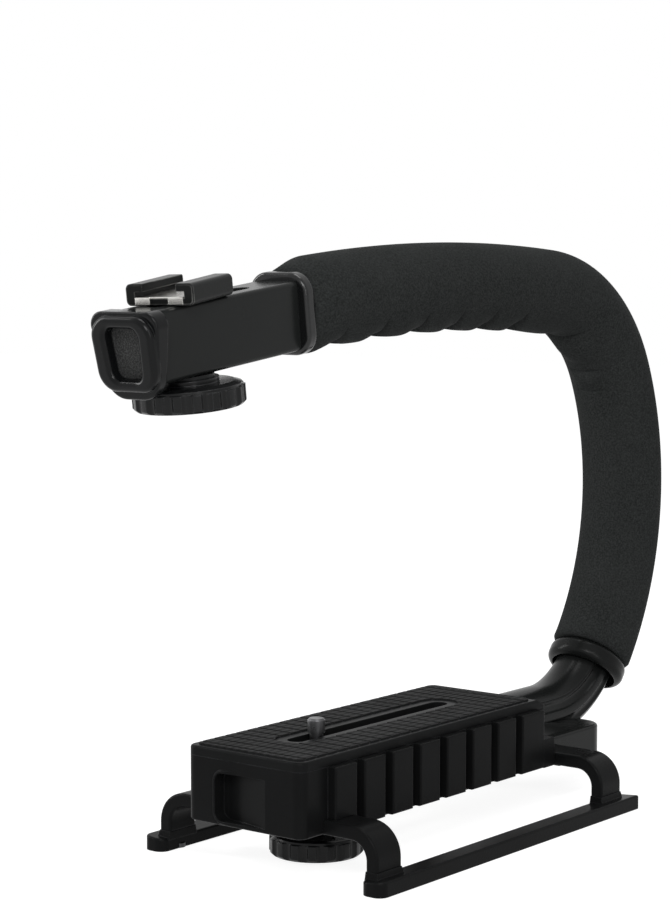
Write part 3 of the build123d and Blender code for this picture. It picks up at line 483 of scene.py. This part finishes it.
# Lean of the creases: how far forward they run, over what rise, and where along the sleeve the lean
# sets in and dies away
foam_lean = -0.021
lean_height = 0.55
side_rise = 0.35
lean_start = 0.032
lean_end = 0.14
lean_fade = 0.045
# Taper under the collar with the bulge below it, flare on the flange, and the rounded ends
taper_depth = 0.0028
taper_length = 0.02
bulge_height = 0.0024
bulge_place = 0.004
bulge_width = 0.007
flare_height = 0.0009
flare_width = 0.004
round_end = 0.0022
# Spacing of the rings at a crease or an end, over the creased part, and beyond it
crease_zone = 0.0018
crease_step = 0.00022
bend_step = 0.0009
bend_end = 0.215
plain_step = 0.0022
bore_rings = 90


def smooth_step(value):
    """Eased 0 to 1."""
    value = max(0.0, min(1.0, value))
    return value * value * (3 - 2 * value)


def leaned(distance, turn):
    """Where a point of a ring lies along the sleeve. The rings lean forward as they rise."""
    rise = 1 - math.cos(turn) + side_rise * abs(math.sin(turn))
    height = lean_height * math.tanh(rise / lean_height)
    share = smooth_step(distance / lean_start) * (1 - smooth_step((distance - lean_end) / lean_fade))
    return distance + foam_lean * height * share


def foam_skin(distance, angle):
    """Radius of the sleeve on a ring that starts at a distance, and an angle from the bend's inside."""
    radius = foam_radius - taper_depth * max(0.0, 1 - distance / taper_length) ** 1.6
    swell = math.exp(-((distance - bulge_place) / bulge_width) ** 2)
    radius += bulge_height * swell * smooth_step(1.2 - abs(angle) / 60)
    last = 0.0
    for place, bulge, drawn, slit, reach in foam_creases:
        fade = smooth_step(1.25 - 1.25 * abs(angle) / reach)
        gap = distance - place
        if last < distance <= place:
            share = (distance - last) / (place - last)
            radius += fade * bulge * math.sin(math.pi * min(1.0, share * 1.25))
            radius -= fade * drawn * smooth_step((share - 0.42) / 0.58)
        radius -= slit * fade * math.exp(-abs(gap / slit_width) ** 1.4)
        last = place
    left = foam_length - distance
    radius += flare_height * math.exp(-(left / flare_width) ** 2) * smooth_step(1 - abs(angle) / 75)
    for end in (distance, left):
        if end < round_end:
            radius -= round_end * (1 - math.sqrt(max(0.0, 1 - (1 - end / round_end) ** 2)))
    return radius


def foam_places():
    """Ring places from end to end, close together at the creases and at both rounded ends."""
    places, here = [0.0], 0.0
    while here < foam_length:
        near = min(abs(here - crease[0]) for crease in foam_creases)
        near = min(near, here, foam_length - here)
        if near < crease_zone:
            here += crease_step
        else:
            here += bend_step if here < bend_end else plain_step
        places.append(min(here, foam_length))
    return places


def foam_sleeve():
    """Closed sleeve with a bore, ring by ring along the arch."""
    mesh = bpy.data.meshes.new("foam_sleeve")
    shape = bmesh.new()
    places = foam_places()

    def ring_at(distance, bore):
        """One ring of points, on the skin or on the bore."""
        points = []
        for step in range(foam_sides):
            turn = 2 * math.pi * step / foam_sides
            angle = math.degrees(turn)
            angle = angle if angle <= 180 else 360 - angle
            centre, heading = arch_at(distance if bore else leaned(distance, turn))
            inward = Vector((math.sin(heading), 0, -math.cos(heading)))
            spoke = inward * math.cos(turn) + Vector((0, math.sin(turn), 0))
            reach = foam_bore if bore else foam_skin(distance, angle)
            points.append(shape.verts.new(centre + spoke * reach))
        return points

    skins = [ring_at(distance, False) for distance in places]
    bores = [ring_at(foam_length * step / bore_rings, True) for step in range(bore_rings + 1)]
    for rows in (skins, bores):
        for first, second in zip(rows, rows[1:]):
            for step in range(foam_sides):
                after = (step + 1) % foam_sides
                shape.faces.new([first[step], first[after], second[after], second[step]])
    for row, lining in ((skins[0], bores[0]), (skins[-1], bores[-1])):
        for step in range(foam_sides):
            after = (step + 1) % foam_sides
            shape.faces.new([row[step], lining[step], lining[after], row[after]])
    bmesh.ops.recalc_face_normals(shape, faces=shape.faces)
    shape.to_mesh(mesh)
    shape.free()
    piece = bpy.data.objects.new("foam_sleeve", mesh)
    bpy.context.scene.collection.objects.link(piece)
    for face in mesh.polygons:
        face.use_smooth = True
    return piece


foam = foam_sleeve()

foam_rubber = bpy.data.materials.new("foam_rubber")
foam_rubber.use_nodes = True
nodes, links = foam_rubber.node_tree.nodes, foam_rubber.node_tree.links
skin = nodes["Principled BSDF"]
skin.inputs["Specular IOR Level"].default_value = 0.04
coords = nodes.new("ShaderNodeTexCoord")
cells = nodes.new("ShaderNodeTexVoronoi")
cells.inputs["Scale"].default_value = 2600
fine = nodes.new("ShaderNodeTexNoise")
fine.inputs["Scale"].default_value = 1500
fine.inputs["Detail"].default_value = 6
hands = nodes.new("ShaderNodeGroup")
hands.node_tree = handling
hands.inputs["Blotches per metre"].default_value = 45
ground = nodes.new("ShaderNodeMix")
ground.data_type = "RGBA"
ground.inputs[6].default_value = (0.0105, 0.0115, 0.0112, 1)
ground.inputs[7].default_value = (0.0155, 0.0165, 0.0162, 1)
flecks = nodes.new("ShaderNodeMapRange")
flecks.inputs["From Min"].default_value = 0.35
flecks.inputs["From Max"].default_value = 0.7
fleck_mix = nodes.new("ShaderNodeMix")
fleck_mix.data_type = "RGBA"
fleck_mix.inputs[7].default_value = (0.028, 0.03, 0.0297, 1)
rough = nodes.new("ShaderNodeMapRange")
rough.inputs["To Min"].default_value = 0.95
rough.inputs["To Max"].default_value = 0.78
height = nodes.new("ShaderNodeMath")
height.operation = "MULTIPLY_ADD"
height.inputs[1].default_value = 0.6
bump = nodes.new("ShaderNodeBump")
bump.inputs["Strength"].default_value = 1.0
bump.inputs["Distance"].default_value = 0.00006
links.new(coords.outputs["Object"], cells.inputs["Vector"])
links.new(coords.outputs["Object"], fine.inputs["Vector"])
links.new(hands.outputs["Value"], ground.inputs[0])
links.new(fine.outputs[0], flecks.inputs["Value"])
links.new(flecks.outputs[0], fleck_mix.inputs[0])
links.new(ground.outputs[2], fleck_mix.inputs[6])
links.new(fleck_mix.outputs[2], skin.inputs["Base Color"])
links.new(hands.outputs["Value"], rough.inputs["Value"])
links.new(rough.outputs[0], skin.inputs["Roughness"])
links.new(cells.outputs["Distance"], height.inputs[0])
links.new(fine.outputs[0], height.inputs[2])
links.new(height.outputs[0], bump.inputs["Height"])
links.new(bump.outputs[0], skin.inputs["Normal"])
foam.data.materials.append(foam_rubber)
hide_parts("foam_grip")
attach(foam, "frame")


# Upper arm with its collar, plug and end cap. A box-section ABS moulding, polished smoother than the
# platform, closed at the front by a shield-shaped cap with a raised ring round a textured well.
arm_plastic = moulded_plastic(
    "arm_plastic", (0.0085, 0.0092, 0.009), (0.0115, 0.0124, 0.0121), 0.3, 0.2, 0.1,
    700, 0.00001, 0.0006, (0.05, 0.052, 0.054), 0.5,
)
dress(["upper_arm", "arm_plug"], arm_plastic)
collar_plastic = moulded_plastic(
    "collar_plastic", (0.004, 0.0043, 0.0044), (0.007, 0.0075, 0.0077), 0.22, 0.14, 0.32,
    900, 0.00001, 0.0006, (0.04, 0.042, 0.044), 0.4,
)
dress(["upper_collar"], collar_plastic)
cap_plastic = moulded_plastic(
    "cap_plastic", (0.003, 0.0033, 0.0035), (0.005, 0.0054, 0.0058), 0.2, 0.13, 0.13,
    900, 0.00001, 0.0006, (0.04, 0.042, 0.045), 0.3,
)
# Middle and facing of the cap, depth of the well's floor behind it, and the floor's reach
cap_centre = (-0.157232, 0, 0.183847)
cap_normal = (-0.9763, 0, -0.2164)
floor_depths = (-0.0013, -0.0021)
floor_reaches = (0.0129, 0.0124)
nodes, links = cap_plastic.node_tree.nodes, cap_plastic.node_tree.links
skin = nodes["Principled BSDF"]
coords = nodes.new("ShaderNodeTexCoord")
from_centre = nodes.new("ShaderNodeVectorMath")
from_centre.operation = "SUBTRACT"
from_centre.inputs[1].default_value = cap_centre
depth = nodes.new("ShaderNodeVectorMath")
depth.operation = "DOT_PRODUCT"
depth.inputs[1].default_value = cap_normal
deep = nodes.new("ShaderNodeMapRange")
deep.inputs["From Min"].default_value = floor_depths[0]
deep.inputs["From Max"].default_value = floor_depths[1]
reach = nodes.new("ShaderNodeVectorMath")
reach.operation = "LENGTH"
inside = nodes.new("ShaderNodeMapRange")
inside.inputs["From Min"].default_value = floor_reaches[0]
inside.inputs["From Max"].default_value = floor_reaches[1]
floor_mask = nodes.new("ShaderNodeMath")
floor_mask.operation = "MULTIPLY"
specks = nodes.new("ShaderNodeTexNoise")
specks.inputs["Scale"].default_value = 2300
specks.inputs["Detail"].default_value = 3
speck_range = nodes.new("ShaderNodeMapRange")
speck_range.inputs["From Min"].default_value = 0.42
speck_range.inputs["From Max"].default_value = 0.66
floor_colour = nodes.new("ShaderNodeMix")
floor_colour.data_type = "RGBA"
floor_colour.inputs[6].default_value = (0.02, 0.0205, 0.0205, 1)
floor_colour.inputs[7].default_value = (0.06, 0.061, 0.06, 1)
floor_or_ring = nodes.new("ShaderNodeMix")
floor_or_ring.data_type = "RGBA"
floor_gloss = nodes.new("ShaderNodeMix")
floor_gloss.inputs[3].default_value = 0.7
ring_colour = skin.inputs["Base Color"].links[0].from_socket
ring_gloss = skin.inputs["Roughness"].links[0].from_socket
links.new(coords.outputs["Object"], from_centre.inputs[0])
links.new(from_centre.outputs[0], depth.inputs[0])
links.new(depth.outputs["Value"], deep.inputs["Value"])
links.new(from_centre.outputs[0], reach.inputs[0])
links.new(reach.outputs["Value"], inside.inputs["Value"])
links.new(deep.outputs[0], floor_mask.inputs[0])
links.new(inside.outputs[0], floor_mask.inputs[1])
links.new(coords.outputs["Object"], specks.inputs["Vector"])
links.new(specks.outputs[0], speck_range.inputs["Value"])
links.new(speck_range.outputs[0], floor_colour.inputs[0])
links.new(floor_mask.outputs[0], floor_or_ring.inputs[0])
links.new(ring_colour, floor_or_ring.inputs[6])
links.new(floor_colour.outputs[2], floor_or_ring.inputs[7])
links.new(floor_or_ring.outputs[2], skin.inputs["Base Color"])
links.new(floor_mask.outputs[0], floor_gloss.inputs[0])
links.new(ring_gloss, floor_gloss.inputs[2])
links.new(floor_gloss.outputs[0], skin.inputs["Roughness"])
dress(["arm_end_cap"], cap_plastic)


# Accessory shoe. A blackened steel channel on the arm's slot with its lips rubbed bright, and a bare
# spring plate inside that presses an accessory's foot up against them.
shoe_black = moulded_plastic(
    "shoe_black", (0.0055, 0.0059, 0.0058), (0.0095, 0.0102, 0.0099), 0.34, 0.24, 0.08,
    900, 0.00002, 0.0006, (0.3, 0.3, 0.29), 0.9,
)
dress(["shoe_body"], shoe_black)
spring_metal = drawn_metal(
    "spring_metal", (0.52, 0.51, 0.48), (0.76, 0.75, 0.72), 0.3, 0.16, 260, 0.0002,
)
dress(["shoe_spring_plate"], spring_metal)
bolt_metal = drawn_metal("bolt_metal", (0.4, 0.4, 0.39), (0.6, 0.6, 0.59), 0.36, 0.22, 260, 0.0002)
dress(["shoe_bolt"], bolt_metal)


# Knobs. Fluted black thumb knobs, one under the arm and one under the platform, each with a thin
# nylon washer; the upper one has a turned brass thread moulded in. The screw's carrier is nylon too.
knob_plastic = moulded_plastic(
    "knob_plastic", (0.0035, 0.0037, 0.0039), (0.0065, 0.0069, 0.0072), 0.24, 0.15, 0.17,
    1000, 0.00002, 0.0006, (0.045, 0.047, 0.05), 0.5,
)
dress(["upper_knob", "camera_knob"], knob_plastic)
washer_nylon = moulded_plastic(
    "washer_nylon", (0.008, 0.0083, 0.0085), (0.014, 0.0145, 0.015), 0.44, 0.32, 0.12,
    1300, 0.00002, 0.0002, (0.05, 0.05, 0.05), 0.4,
)
dress(["shoe_knob_washer", "camera_knob_washer", "screw_carrier"], washer_nylon)
insert_brass = drawn_metal(
    "insert_brass", (0.5, 0.34, 0.14), (0.72, 0.52, 0.24), 0.36, 0.22, 260, 0.0002,
)
dress(["upper_knob_insert"], insert_brass)


# Camera screw. A quarter-inch steel screw with a black oxide finish, turned by the knob below; it
# slides along the platform's slot, and a spring ring keeps it in its carrier.
blacked_steel = drawn_metal(
    "blacked_steel", (0.05, 0.05, 0.052), (0.16, 0.16, 0.165), 0.4, 0.24, 300, 0.0002,
)
dress(["camera_screw", "screw_retaining_ring"], blacked_steel)
